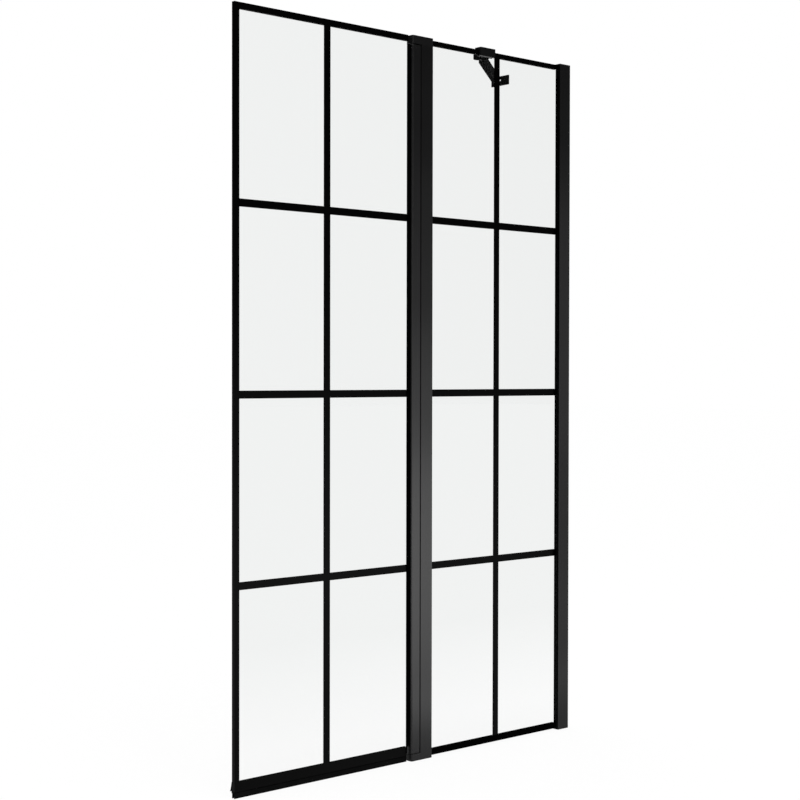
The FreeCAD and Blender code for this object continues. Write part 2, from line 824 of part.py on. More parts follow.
def make_fixed_glass():
    """The fixed pane, from the post's pocket to the expander's."""
    low = (post_pocket + d.gasket_base, -half_glass, fixed_rail_bottom + d.frame_wall + d.glass_pad)
    top = fixed_rail_top - d.frame_wall - d.glass_pad
    node(box("fixed_glass", low, (expander_pocket - d.gasket_base, half_glass, top)))


def make_edge_channel():
    """The U channel on the leaf's free edge."""
    web = free_edge + d.frame_wall
    upper = [(free_edge, frame_face), (leaf_inner, frame_face), (leaf_inner, half_glass), (web, half_glass)]
    section = upper + mirrored(upper)
    node(profile("edge_channel", "XY_Plane", leaf_rail_bottom, d.screen_height, [section]))


def make_drip_seal():
    """The seal under the leaf: a hollow skirt below a groove, a clip flange and a fin on the wet side."""
    wall = d.seal_wall
    groove = d.skirt_height - d.seal_groove
    web = groove - wall
    inside = d.skirt_back - wall
    flange = frame_face + wall
    flange_top = leaf_rail_bottom + d.seal_flange_height
    tip = frame_face + d.fin_reach
    section = [
        (-frame_face, ZERO), (wall - frame_face, ZERO), (wall - frame_face, web), (inside, web),
        (inside, ZERO), (d.skirt_back, ZERO), (d.skirt_back, web), (flange, web),
        (flange, flange_top - d.fin_root_height), Turn(d.fin_radius),
        (tip - d.fin_thickness, d.fin_tip_height), (tip, d.fin_tip_height), Turn(d.fin_radius, ccw=False),
        (flange, flange_top), (frame_face, flange_top), (frame_face, leaf_rail_bottom),
        (wall - frame_face, leaf_rail_bottom), (wall - frame_face, groove), (-frame_face, groove),
    ]
    node(profile("drip_seal", "YZ_Plane", free_edge, stile_lip, [section]))


def make_ear(name, foot, pivot, radius, low, high):
    """A horizontal ear: a tab from its foot to a round end about the pivot."""
    tab = box(f"{name}_tab", (foot[0], foot[1], low), (foot[2], foot[3], high))
    end = cylinder(f"{name}_end", "z", (*pivot, low), radius, high - low)
    return fuse(name, tab, end)


def ear_heights():
    """The heights of the thick lower ear and the upper ear of each swivel."""
    lower = (swivel_bottom, swivel_bottom + d.lower_ear_thickness)
    upper = (clamp_top - d.ear_thickness, clamp_top)
    return {"lower": lower, "upper": upper}


def swivel_hole(name, pivot):
    """The bore through both ears of a swivel."""
    start = (*pivot, swivel_bottom - d.cut_overrun)
    return cylinder(name, "z", start, swivel_bore, d.swivel_height + d.cut_overrun * 2)


def make_clamp():
    """The saddle over the fixed top rail, its liner and its grub screws."""
    half = d.clamp_width / 2
    pivot = (clamp_x, clamp_pivot_y)
    outer = box(
        "saddle_block", (clamp_x - half, -clamp_half, clamp_bottom), (clamp_x + half, clamp_half, clamp_top)
    )
    gap_half = frame_face + d.liner_thickness
    gap_top = fixed_rail_top + d.liner_thickness
    gap = box(
        "saddle_gap",
        (clamp_x - half - d.cut_overrun, -gap_half, swivel_bottom - d.cut_overrun),
        (clamp_x + half + d.cut_overrun, gap_half, gap_top),
    )
    radius = d.clamp_ear_radius
    heel = box(
        "saddle_heel", (clamp_x - radius, gap_half, swivel_bottom), (clamp_x + radius, clamp_half, clamp_top)
    )
    foot = (clamp_x - radius, clamp_half, clamp_x + radius, clamp_pivot_y)
    ears = [
        make_ear(f"clamp_{place}_ear", foot, pivot, radius, *heights)
        for place, heights in ear_heights().items()
    ]
    tools = [gap, swivel_hole("clamp_swivel_hole", pivot)]
    grubs = []
    height = (fixed_pane_top + fixed_rail_top) / 2
    for number, side in enumerate((-1, 1)):
        x = clamp_x + d.grub_spread / 2 * side
        hole_start = (x, gap_half - d.cut_overrun, height)
        hole_radius = d.grub_radius + d.running_clearance
        hole_length = d.clamp_leg + d.cut_overrun * 2
        tools.append(cylinder(f"grub_hole_{number}", "y", hole_start, hole_radius, hole_length))
        grubs.append(cylinder(f"grub_{number}", "y", (x, gap_half, height), d.grub_radius, d.clamp_leg))
    node(cut("clamp_saddle", fuse("saddle_with_ears", outer, heel, *ears), *tools))
    node(group("clamp_grub_screws", *grubs))
    liner_half = gap_half - d.running_clearance
    liner_top = gap_top - d.running_clearance
    liner_bottom = clamp_bottom - d.liner_show
    liner_block = box(
        "liner_block", (clamp_x - half, -liner_half, liner_bottom), (clamp_x + half, liner_half, liner_top)
    )
    liner_gap = box(
        "liner_gap",
        (clamp_x - half - d.cut_overrun, -frame_face, liner_bottom - d.cut_overrun),
        (clamp_x + half + d.cut_overrun, frame_face, fixed_rail_top),
    )
    node(cut("clamp_liner", liner_block, liner_gap))


def make_swivel_pin(name, pivot):
    """A headed pin through both ears of a swivel, flush with the upper ear."""
    shank = cylinder(f"{name}_shank", "z", (*pivot, swivel_bottom), d.swivel_pin_radius, d.swivel_height)
    head_low = swivel_bottom - d.swivel_head_height
    head = cylinder(f"{name}_head", "z", (*pivot, head_low), d.swivel_head_radius, d.swivel_head_height)
    node(fuse(name, shank, head))


def make_arm():
    """The stabiliser bar, on edge, with a tongue at each end for the swivels."""
    along = bracket_x - clamp_x
    across = d.bracket_place - clamp_pivot_y
    length = length_of(across, along)
    half = d.arm_width / 2
    near = d.clamp_ear_radius + d.shoulder_gap
    far = length - d.bracket_ear_radius - d.shoulder_gap
    arm_low = clamp_top - d.arm_height
    bar = box("arm_bar", (near, -half, arm_low), (far, half, clamp_top))
    tongue = box("arm_tongue", (ZERO, -half, tongue_bottom), (length, half, tongue_top))
    height = tongue_top - tongue_bottom
    near_end = cylinder("arm_near_end", "z", (ZERO, ZERO, tongue_bottom), half, height)
    far_end = cylinder("arm_far_end", "z", (length, ZERO, tongue_bottom), half, height)
    near_bore = swivel_hole("arm_near_bore", (ZERO, ZERO))
    far_bore = swivel_hole("arm_far_bore", (length, ZERO))
    blank = fuse("arm_blank", bar, tongue, near_end, far_end)
    arm = cut("stabiliser_arm", blank, near_bore, far_bore)
    bind(arm, Placement__Base__x=clamp_x, Placement__Base__y=clamp_pivot_y)
    bind(arm, Placement__Rotation__Angle=slant_of(across, along))
    node(arm)


def make_wall_bracket():
    """The wall plate of the stabiliser, with two ears and one screw hole between them."""
    half = d.bracket_width / 2
    y = d.bracket_place
    pivot = (bracket_x, y)
    radius = d.bracket_ear_radius
    plate_top = clamp_top + d.bracket_rise
    plate = box(
        "bracket_plate_blank", (-d.bracket_plate, y - half, swivel_bottom), (ZERO, y + half, plate_top)
    )
    foot = (bracket_x, y - radius, -d.bracket_plate, y + radius)
    ears = [
        make_ear(f"bracket_{place}_ear", foot, pivot, radius, *heights)
        for place, heights in ear_heights().items()
    ]
    hole_height = (tongue_bottom + tongue_top) / 2
    hole_start = (-d.bracket_plate - d.cut_overrun, y, hole_height)
    hole_length = d.bracket_plate + d.cut_overrun * 2
    hole = cylinder("bracket_hole", "x", hole_start, d.bracket_hole_radius, hole_length)
    blank = fuse("bracket_blank", plate, *ears)
    node(cut("wall_bracket", blank, swivel_hole("bracket_swivel_hole", pivot), hole))


def make_screen():
    """Makes every piece of the screen."""
    make_wall_channel()
    make_end_cap("channel_top_cap", channel_top, d.screen_height, channel_top - d.end_plug_depth, channel_top)
    make_end_cap(
        "channel_bottom_cap", ZERO, channel_bottom, channel_bottom, channel_bottom + d.end_plug_depth
    )
    make_lock_screws()
    make_expander()
    expander_wet_side = gasket_side(expander_pocket, expander_back_lip, -1)
    expander_dry_side = gasket_side(expander_pocket, expander_lip, -1)
    make_gasket("expander_gasket", expander_wet_side, expander_dry_side, fixed_pane_bottom, fixed_pane_top)
    make_fixed_glass()
    fixed_ends = (post_right, expander_lip)
    make_rail("fixed_top_rail", fixed_ends, fixed_rail_top, fixed_rail_top - d.frame_wall, fixed_pane_top)
    make_rail(
        "fixed_bottom_rail", fixed_ends, fixed_rail_bottom, fixed_rail_bottom + d.frame_wall, fixed_pane_bottom
    )
    make_bars(
        "fixed", post_right + d.gasket_bead, expander_lip - d.gasket_bead, expander_lip - d.fixed_bar_place,
        fixed_pane_bottom, fixed_pane_top,
    )
    make_hinge_post()
    post_side = gasket_side(post_pocket, post_right, 1)
    make_gasket("post_gasket", post_side, post_side, fixed_pane_bottom, cap_underside)
    make_pivot_cap("top_pivot_cap", cap_underside, d.screen_height, cap_underside, 1)
    make_pivot_cap("bottom_pivot_cap", ZERO, d.bottom_cap_height, d.bottom_cap_height, -1)
    make_cap_screws()
    make_pivots()
    make_pivot_stile()
    stile_wet_side = gasket_side(stile_pocket, stile_back_lip, -1)
    stile_dry_side = gasket_side(stile_pocket, stile_lip, -1, head_left)
    make_gasket("stile_gasket", stile_wet_side, stile_dry_side, leaf_pane_bottom, stile_top)
    make_leaf_glass()
    make_edge_channel()
    make_rail(
        "leaf_top_rail", (leaf_inner, swing_end), d.screen_height, d.screen_height - d.frame_wall, leaf_pane_top
    )
    make_rail(
        "leaf_bottom_rail", (leaf_inner, stile_lip), leaf_rail_bottom, leaf_rail_bottom + d.frame_wall,
        leaf_pane_bottom,
    )
    make_bars(
        "leaf", leaf_inner, stile_lip - d.gasket_bead, leaf_inner + d.leaf_pane_width / 2,
        leaf_pane_bottom, leaf_pane_top,
    )
    make_drip_seal()
    make_clamp()
    make_swivel_pin("clamp_swivel_pin", (clamp_x, clamp_pivot_y))
    make_arm()
    make_wall_bracket()
    make_swivel_pin("bracket_swivel_pin", (bracket_x, d.bracket_place))


def check_document():
    """Stops if any object failed or any piece has no valid solid."""
    for thing in doc.Objects:
        if "Invalid" in thing.State or "Error" in thing.State:
            raise RuntimeError(f"{thing.Name} failed: {thing.State}")
    for piece in NODES:
        if piece.Shape.isNull() or not piece.Shape.isValid() or not piece.Shape.Solids:
            raise RuntimeError(f"{piece.Name} has no valid solid")


make_screen()
doc.recompute()
check_document()
os.makedirs("parts", exist_ok=True)
for piece in NODES:
    piece.Shape.exportStep(f"parts/{piece.Label}.step")
    print(piece.Label, len(piece.Shape.Solids), round(piece.Shape.Volume))
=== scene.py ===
"""Looks of a black framed glass shower screen: its finishes, small fixings and a plain studio."""

import logging
import math
from abc import ABC, abstractmethod
from collections.abc import Callable
from dataclasses import dataclass, replace
from enum import Enum
from itertools import pairwise

import bmesh
import bpy
from mathutils import Matrix, Vector


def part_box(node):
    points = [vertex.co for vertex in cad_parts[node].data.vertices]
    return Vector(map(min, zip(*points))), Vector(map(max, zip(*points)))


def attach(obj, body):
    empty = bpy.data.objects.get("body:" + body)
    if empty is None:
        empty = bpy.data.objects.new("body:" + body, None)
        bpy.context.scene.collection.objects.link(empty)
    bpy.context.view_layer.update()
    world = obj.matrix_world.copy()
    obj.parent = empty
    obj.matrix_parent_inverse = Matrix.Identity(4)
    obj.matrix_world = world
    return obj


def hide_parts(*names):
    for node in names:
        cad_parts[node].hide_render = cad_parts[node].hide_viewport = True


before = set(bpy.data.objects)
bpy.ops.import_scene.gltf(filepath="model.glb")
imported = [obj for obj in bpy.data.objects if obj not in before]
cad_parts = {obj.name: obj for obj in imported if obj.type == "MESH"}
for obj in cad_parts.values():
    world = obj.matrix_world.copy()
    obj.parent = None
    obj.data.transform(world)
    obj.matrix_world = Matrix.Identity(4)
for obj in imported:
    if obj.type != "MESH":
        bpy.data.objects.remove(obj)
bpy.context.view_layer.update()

Point = tuple[float, float, float]
Colour = tuple[float, float, float]
Span = tuple[float, float]

MM = 0.001
HEIGHT_TOLERANCE = 0.01 * MM
ORIGIN = Vector((0.0, 0.0, 0.0))
EVEN: Point = (1.0, 1.0, 1.0)
WHITE: Colour = (1.0, 1.0, 1.0)
QUARTER_TURN = math.pi / 2.0
HALF_TURN = math.pi

log = logging.getLogger("shower_screen")


class Body(Enum):
    """The rigid bodies that new pieces ride on."""

    WALL_SIDE = "wall_side"
    FIXED_PANEL = "fixed_panel"
    BRACKET = "bracket"


class Slot(Enum):
    """Names of the record's material slots, which each fixing lists but this script does not use."""

    PLASTIC = "black_plastic"
    STEEL = "steel"


class Axis(Enum):
    """The row axis that a rubber profile is drawn out along."""

    X = 0
    Z = 2


@dataclass(frozen=True)
class Pattern:
    """A noise on Object coordinates: features per metre, octaves, and the scale along each axis."""

    scale: float
    detail: float
    stretch: Point = EVEN


@dataclass(frozen=True)
class Relief:
    """A fine relief: how much of it shows, from 0 to 1, and its height in metres."""

    strength: float
    depth: float


class Surface:
    """A node-based material under construction, with a Principled shader at its end."""

    drift_span: Span = (0.3, 0.7)

    def __init__(self, name: str) -> None:
        """Starts an empty material.

        Args:
            name: The material's name.
        """
        self.material = bpy.data.materials.new(name)
        self.material.use_nodes = True
        self.tree = self.material.node_tree
        self.tree.nodes.clear()
        self.shader = self.add("ShaderNodeBsdfPrincipled")
        output = self.add("ShaderNodeOutputMaterial")
        self.join(self.shader, "BSDF", output, "Surface")
        self.place = self.add("ShaderNodeTexCoord")

    def add(self, kind: str, **values: object) -> bpy.types.Node:
        """Adds a node.

        Args:
            kind: The node's Blender type.
            values: Input values by socket name, with underscores for spaces.

        Returns:
            The new node.
        """
        node = self.tree.nodes.new(kind)
        for name, value in values.items():
            node.inputs[name.replace("_", " ")].default_value = value
        return node

    def join(self, source: bpy.types.Node, output: str, target: bpy.types.Node, socket: str | int) -> None:
        """Links an output of one node to an input of another."""
        self.tree.links.new(source.outputs[output], target.inputs[socket])

    def noise(self, pattern: Pattern) -> bpy.types.Node:
        """Adds noise on Object coordinates.

        Args:
            pattern: The noise's size and stretch.

        Returns:
            The noise node, with its value in Fac.
        """
        mapping = self.add("ShaderNodeMapping", Scale=pattern.stretch)
        self.join(self.place, "Object", mapping, "Vector")
        noise = self.add("ShaderNodeTexNoise", Scale=pattern.scale, Detail=pattern.detail)
        self.join(mapping, "Vector", noise, "Vector")
        return noise

    def level(self, heights: Span) -> bpy.types.Node:
        """Adds a value that goes from 0 at one height to 1 at another, on Object coordinates.

        Args:
            heights: The heights in metres where it is 0 and where it is 1.

        Returns:
            The node, with the value in its Result.
        """
        low, high = heights
        parts = self.add("ShaderNodeSeparateXYZ")
        self.join(self.place, "Object", parts, "Vector")
        rise = self.add("ShaderNodeMapRange", From_Min=low, From_Max=high)
        self.join(parts, "Z", rise, "Value")
        return rise

    def ramp(
        self, source: bpy.types.Node, output: str, start: Colour, end: Colour, span: Span = (0.0, 1.0)
    ) -> bpy.types.Node:
        """Adds a colour that goes from one tone to another with a value.

        Args:
            source: The node that gives the value.
            output: The name of the value's output.
            start: The tone below the span.
            end: The tone above the span.
            span: The values between which the colour changes.

        Returns:
            The ramp node, with the colour in its Color.
        """
        ramp = self.add("ShaderNodeValToRGB")
        first, last = ramp.color_ramp.elements
        first.position, last.position = span
        first.color, last.color = (*start, 1.0), (*end, 1.0)
        self.join(source, output, ramp, "Fac")
        return ramp

    def vary_colour(self, noise: bpy.types.Node, dark: Colour, light: Colour) -> None:
        """Lets the base colour drift between two tones with a noise."""
        ramp = self.ramp(noise, "Fac", dark, light, self.drift_span)
        self.join(ramp, "Color", self.shader, "Base Color")

    def vary_roughness(self, noise: bpy.types.Node, rough: Span) -> None:
        """Lets the roughness drift between two values with a noise.

        Args:
            noise: The drift's pattern.
            rough: The lowest and the highest roughness.
        """
        low, high = rough
        spread = self.add("ShaderNodeMapRange", To_Min=low, To_Max=high)
        self.join(noise, "Fac", spread, "Value")
        self.join(spread, "Result", self.shader, "Roughness")

    def bump(self, noise: bpy.types.Node, relief: Relief) -> None:
        """Raises a noise as a fine relief.

        Args:
            noise: The relief's pattern.
            relief: Its strength and height.
        """
        bump = self.add("ShaderNodeBump", Strength=relief.strength, Distance=relief.depth)
        self.join(noise, "Fac", bump, "Height")
        self.join(bump, "Normal", self.shader, "Normal")

    def set(self, **values: object) -> None:
        """Sets values on the shader's own sockets, with underscores for spaces."""
        for name, value in values.items():
            self.shader.inputs[name.replace("_", " ")].default_value = value


class Finish(ABC):
    """A finish that can dress CAD nodes and new pieces."""

    name: str

    @abstractmethod
    def build(self) -> bpy.types.Material:
        """Builds the finish's material.

        Returns:
            The new material.
        """

    def material(self) -> bpy.types.Material:
        """Gives the finish's material, built once."""
        return bpy.data.materials.get(self.name) or self.build()

    def dress(self, piece: bpy.types.Object) -> None:
        """Puts the finish on every slot of a piece.

        Args:
            piece: A CAD node's object or a new piece.
        """
        if not piece.material_slots:
            piece.data.materials.append(self.material())
        for slot in piece.material_slots:
            slot.material = self.material()


@dataclass(frozen=True)
class SkinnedFinish(Finish):
    """A finish whose tone and roughness drift slowly under a finely grained skin.

    Its rough values are the lowest and highest roughness, and its sheen is the specular level.
    """

    name: str
    dark: Colour
    light: Colour
    rough: Span
    sheen: float
    drift: Pattern
    skin: Pattern
    relief: Relief

    def build(self) -> bpy.types.Material:
        """Builds the finish from its drift and its skin.

        Returns:
            The new material.
        """
        surface = Surface(self.name)
        drift = surface.noise(self.drift)
        surface.vary_colour(drift, self.dark, self.light)
        surface.vary_roughness(drift, self.rough)
        surface.bump(surface.noise(self.skin), self.relief)
        surface.set(Specular_IOR_Level=self.sheen)
        return surface.material


@dataclass(frozen=True)
class PowderCoat(SkinnedFinish):
    """Black powder coat with a fine orange-peel relief."""

    drift: Pattern = Pattern(scale=7.0, detail=3.0)
    skin: Pattern = Pattern(scale=900.0, detail=2.0)
    relief: Relief = Relief(strength=0.12, depth=0.03 * MM)


@dataclass(frozen=True)
class MouldedPlastic(SkinnedFinish):
    """Moulded plastic with a fine spark-eroded skin."""

    drift: Pattern = Pattern(scale=40.0, detail=2.0)
    skin: Pattern = Pattern(scale=2600.0, detail=1.0)
    relief: Relief = Relief(strength=0.2, depth=0.02 * MM)


@dataclass(frozen=True)
class LippedLiner(Finish):
    """Black moulded liner whose lip along its lower edge is painted paler, as a painted highlight."""

    name: str
    body: Colour
    painted_highlight: Colour
    node: str
    lip_height: float
    lip_blur: float = 0.1 * MM
    rough: Span = (0.5, 0.6)
    sheen: float = 0.02
    skin: Pattern = Pattern(scale=2600.0, detail=1.0)
    relief: Relief = Relief(strength=0.2, depth=0.02 * MM)

    def build(self) -> bpy.types.Material:
        """Builds the liner, with the painted highlight's tone up to the lip's height above the node's lower
        edge.

        Returns:
            The new material.
        """
        surface = Surface(self.name)
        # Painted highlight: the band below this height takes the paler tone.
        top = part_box(self.node)[0][2] + self.lip_height
        height = surface.level((top - self.lip_blur, top + self.lip_blur))
        tone = surface.ramp(height, "Result", self.painted_highlight, self.body)
        surface.join(tone, "Color", surface.shader, "Base Color")
        skin = surface.noise(self.skin)
        surface.vary_roughness(skin, self.rough)
        surface.bump(skin, self.relief)
        surface.set(Specular_IOR_Level=self.sheen)
        return surface.material


@dataclass(frozen=True)
class ExtrudedRubber(Finish):
    """Black rubber with faint die lines along its length.

    The draw share is what is left of the lines' scale along the extrusion.
    """

    name: str
    dark: Colour
    light: Colour
    sheen: float
    along: Axis
    draw_share: float = 0.004
    lines: Pattern = Pattern(scale=1500.0, detail=2.0)
    bloom: Pattern = Pattern(scale=25.0, detail=3.0)
    rough: Span = (0.62, 0.78)
    relief: Relief = Relief(strength=0.15, depth=0.02 * MM)

    def build(self) -> bpy.types.Material:
        """Builds the rubber from a slow bloom and die lines drawn out along the extrusion.

        Returns:
            The new material.
        """
        surface = Surface(self.name)
        stretch = list(self.lines.stretch)
        stretch[self.along.value] = self.draw_share
        bloom = surface.noise(self.bloom)
        surface.vary_colour(bloom, self.dark, self.light)
        surface.vary_roughness(bloom, self.rough)
        surface.bump(surface.noise(replace(self.lines, stretch=tuple(stretch))), self.relief)
        surface.set(Specular_IOR_Level=self.sheen)
        return surface.material


@dataclass(frozen=True)
class TurnedSteel(Finish):
    """Plain steel with fine level marks."""

    name: str
    dark: Colour
    light: Colour
    rough: Span = (0.26, 0.4)
    marks: Pattern = Pattern(scale=4000.0, detail=2.0, stretch=(0.05, 0.05, 1.0))
    relief: Relief = Relief(strength=0.1, depth=0.01 * MM)

    def build(self) -> bpy.types.Material:
        """Builds the steel from its marks.

        Returns:
            The new material.
        """
        surface = Surface(self.name)
        marks = surface.noise(self.marks)
        surface.vary_colour(marks, self.dark, self.light)
        surface.vary_roughness(marks, self.rough)
        surface.bump(marks, self.relief)
        surface.set(Metallic=1.0)
        return surface.material


@dataclass(frozen=True)
class ClearGlass(Finish):
    """Clear safety glass: green at its cut edges, and painted a shade greyer above its foot, a painted
    reflection of the bright floor in its lower part.

    Its glare tints what it mirrors, and its edge span is where the cut edge's tint gives way to the face's.
    """

    name: str
    face: Colour
    edge: Colour
    painted_reflection_shade: Colour
    painted_reflection_heights: Span
    refraction: float
    glare: Colour
    edge_span: Span = (0.4, 0.6)
    wave: Pattern = Pattern(scale=3.0, detail=1.0)
    relief: Relief = Relief(strength=0.05, depth=0.05 * MM)

    def build(self) -> bpy.types.Material:
        """Builds the glass, with the edge's tint where the surface faces along X or Z.

        Returns:
            The new material.
        """
        surface = Surface(self.name)
        parts = surface.add("ShaderNodeSeparateXYZ")
        surface.join(surface.place, "Normal", parts, "Vector")
        across = surface.add("ShaderNodeMath")
        across.operation = "ABSOLUTE"
        surface.join(parts, "Y", across, 0)
        tint = surface.ramp(across, "Value", self.edge, self.face, self.edge_span)
        # Painted reflection: the glass above its foot is dimmed, so the foot reads clearer as if it mirrored
        # the bright floor.
        painted_reflection_shade = surface.ramp(surface.level(self.painted_reflection_heights), "Result", WHITE, self.painted_reflection_shade)
        reflection_shaded = surface.add("ShaderNodeVectorMath")
        reflection_shaded.operation = "MULTIPLY"
        surface.join(tint, "Color", reflection_shaded, 0)
        surface.join(painted_reflection_shade, "Color", reflection_shaded, 1)
        surface.join(reflection_shaded, "Vector", surface.shader, "Base Color")
        surface.bump(surface.noise(self.wave), self.relief)
        surface.set(Transmission_Weight=1.0, Roughness=0.0, IOR=self.refraction)
        surface.set(Specular_Tint=(*self.glare, 1.0))
        return surface.material


PROFILE_COAT = PowderCoat(
    "satin_black_coat",
    dark=(0.0018, 0.0018, 0.0019), light=(0.0026, 0.0026, 0.0027), rough=(0.34, 0.38), sheen=0.15,
)
PIVOT_COAT = replace(PROFILE_COAT, name="satin_black_pivot_coat")
BAR_COAT = PowderCoat(
    "matt_black_coat",
    dark=(0.0001, 0.0001, 0.0001), light=(0.0003, 0.0003, 0.0003), rough=(0.36, 0.4), sheen=0.05,
)
# The saddle, bracket and arm coats have no sheen; their lighter tones are painted sheen, standing in for the
# reflection they lack.
SADDLE_COAT = PowderCoat(
    "dead_matt_coat_painted_sheen",
    dark=(0.0042, 0.0042, 0.0044), light=(0.0062, 0.0062, 0.0064), rough=(0.6, 0.7), sheen=0.0,
)
BRACE_COAT = PowderCoat(
    "brace_coat_painted_sheen",
    dark=(0.0105, 0.0105, 0.0107), light=(0.0135, 0.0135, 0.0137), rough=(0.6, 0.7), sheen=0.0,
)
# A darker copy of the coat without sheen, which paints the fixed bottom rail darker than the other rails.
FOOT_COAT = PowderCoat(
    "foot_rail_coat",
    dark=(0.0007, 0.0007, 0.0007), light=(0.0011, 0.0011, 0.0011), rough=(0.6, 0.7), sheen=0.0,
)
BLACK_PLASTIC = MouldedPlastic(
    "black_moulded_plastic",
    dark=(0.0018, 0.0018, 0.0018), light=(0.0026, 0.0026, 0.0026), rough=(0.45, 0.55), sheen=0.15,
)
WHITE_ACETAL = MouldedPlastic(
    "turned_acetal",
    dark=(0.62, 0.62, 0.59), light=(0.7, 0.7, 0.67), rough=(0.4, 0.5), sheen=0.4,
    skin=Pattern(scale=900.0, detail=1.0),
)
LINER = LippedLiner(
    "moulded_liner",
    # The lip's paler tone is a painted highlight along the clamp's lower edge.
    body=(0.001, 0.001, 0.001), painted_highlight=(0.15, 0.15, 0.15), node="clamp_liner", lip_height=1.6 * MM,
)
UPRIGHT_RUBBER = ExtrudedRubber(
    "gasket_rubber",
    dark=(0.0003, 0.0003, 0.0003), light=(0.0006, 0.0006, 0.0006), sheen=0.005, along=Axis.Z,
)
LEVEL_RUBBER = ExtrudedRubber(
    "seal_rubber",
    dark=(0.0028, 0.0028, 0.0029), light=(0.004, 0.004, 0.0041), sheen=0.02, along=Axis.X,
)
STEEL = TurnedSteel("turned_steel", dark=(0.42, 0.42, 0.43), light=(0.56, 0.56, 0.57))
BLACK_STEEL = TurnedSteel("blackened_steel", dark=(0.012, 0.012, 0.013), light=(0.022, 0.022, 0.024))
GLASS = ClearGlass(
    "clear_safety_glass",
    face=(0.955, 0.959, 0.957), edge=(0.42, 0.62, 0.53),
    # The painted reflection shade and heights dim the glass above its foot, as a painted reflection of the
    # floor.
    painted_reflection_shade=(0.92, 0.928, 0.924), painted_reflection_heights=(0.08, 0.28),
    refraction=1.5, glare=(0.0, 0.0, 0.0),
)

NODE_FINISHES: dict[Finish, tuple[str, ...]] = {
    PROFILE_COAT: ("wall_channel", "hinge_post", "bottom_pivot_cap"),
    PIVOT_COAT: ("top_pivot_cap", "pivot_stile"),
    BAR_COAT: (
        # The expander takes the darker bar coat as painted shade for its recessed reveal behind the
        # channel's lips.
        "expander",
        "fixed_top_rail", "fixed_upright_bar", "fixed_lower_bar", "fixed_middle_bar", "fixed_upper_bar",
        "leaf_top_rail", "leaf_bottom_rail", "leaf_upright_bar", "leaf_lower_bar", "leaf_middle_bar",
        "leaf_upper_bar", "edge_channel",
    ),
    SADDLE_COAT: ("clamp_saddle", "wall_bracket"),
    BRACE_COAT: ("stabiliser_arm",),
    FOOT_COAT: ("fixed_bottom_rail",),
    BLACK_PLASTIC: ("channel_top_cap", "channel_bottom_cap"),
    WHITE_ACETAL: ("pivot_bushes",),
    LINER: ("clamp_liner",),
    UPRIGHT_RUBBER: ("expander_gasket", "post_gasket", "stile_gasket"),
    LEVEL_RUBBER: ("drip_seal",),
    STEEL: ("lock_screws", "pivot_pins"),
    GLASS: ("fixed_glass", "leaf_glass"),
}


class PackedFrame:
    """The CAD nodes, which keep their shape and place and get their finishes here."""

    def dress(self) -> None:
        """Puts its finish on each CAD node."""
        for finish, names in NODE_FINISHES.items():
            for name in names:
                finish.dress(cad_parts[name])
                log.info("%s: %s", name, finish.name)


